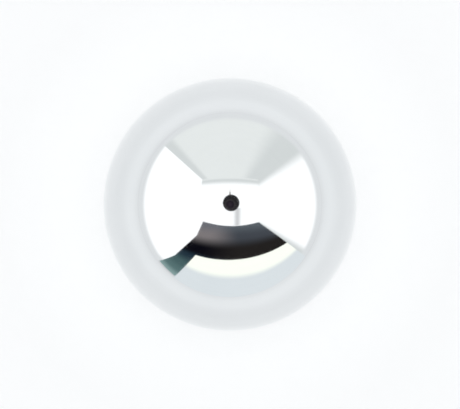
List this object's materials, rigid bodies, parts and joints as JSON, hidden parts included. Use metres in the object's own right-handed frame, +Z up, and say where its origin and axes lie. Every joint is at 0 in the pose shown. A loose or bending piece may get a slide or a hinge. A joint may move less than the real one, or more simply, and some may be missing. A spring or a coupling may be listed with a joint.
{
  "type": "steel ball",
  "caption": "Solid round ball of hardened steel with a smooth mirror-polished surface, for rolling in a race, groove or cup, or for use as a small weight or spacer.",
  "frame": {"origin": "the ball's centre", "axes": "+Z up, away from the point it is held by; the ball is the same along every axis, so +X and +Y are free"},
  "size_m": [0.008, 0.008, 0.008],
  "materials": {
    "polished_steel": "polished"
  },
  "bodies": {
    "root": {"ball": "polished_steel"}
  },
  "joints": []
}
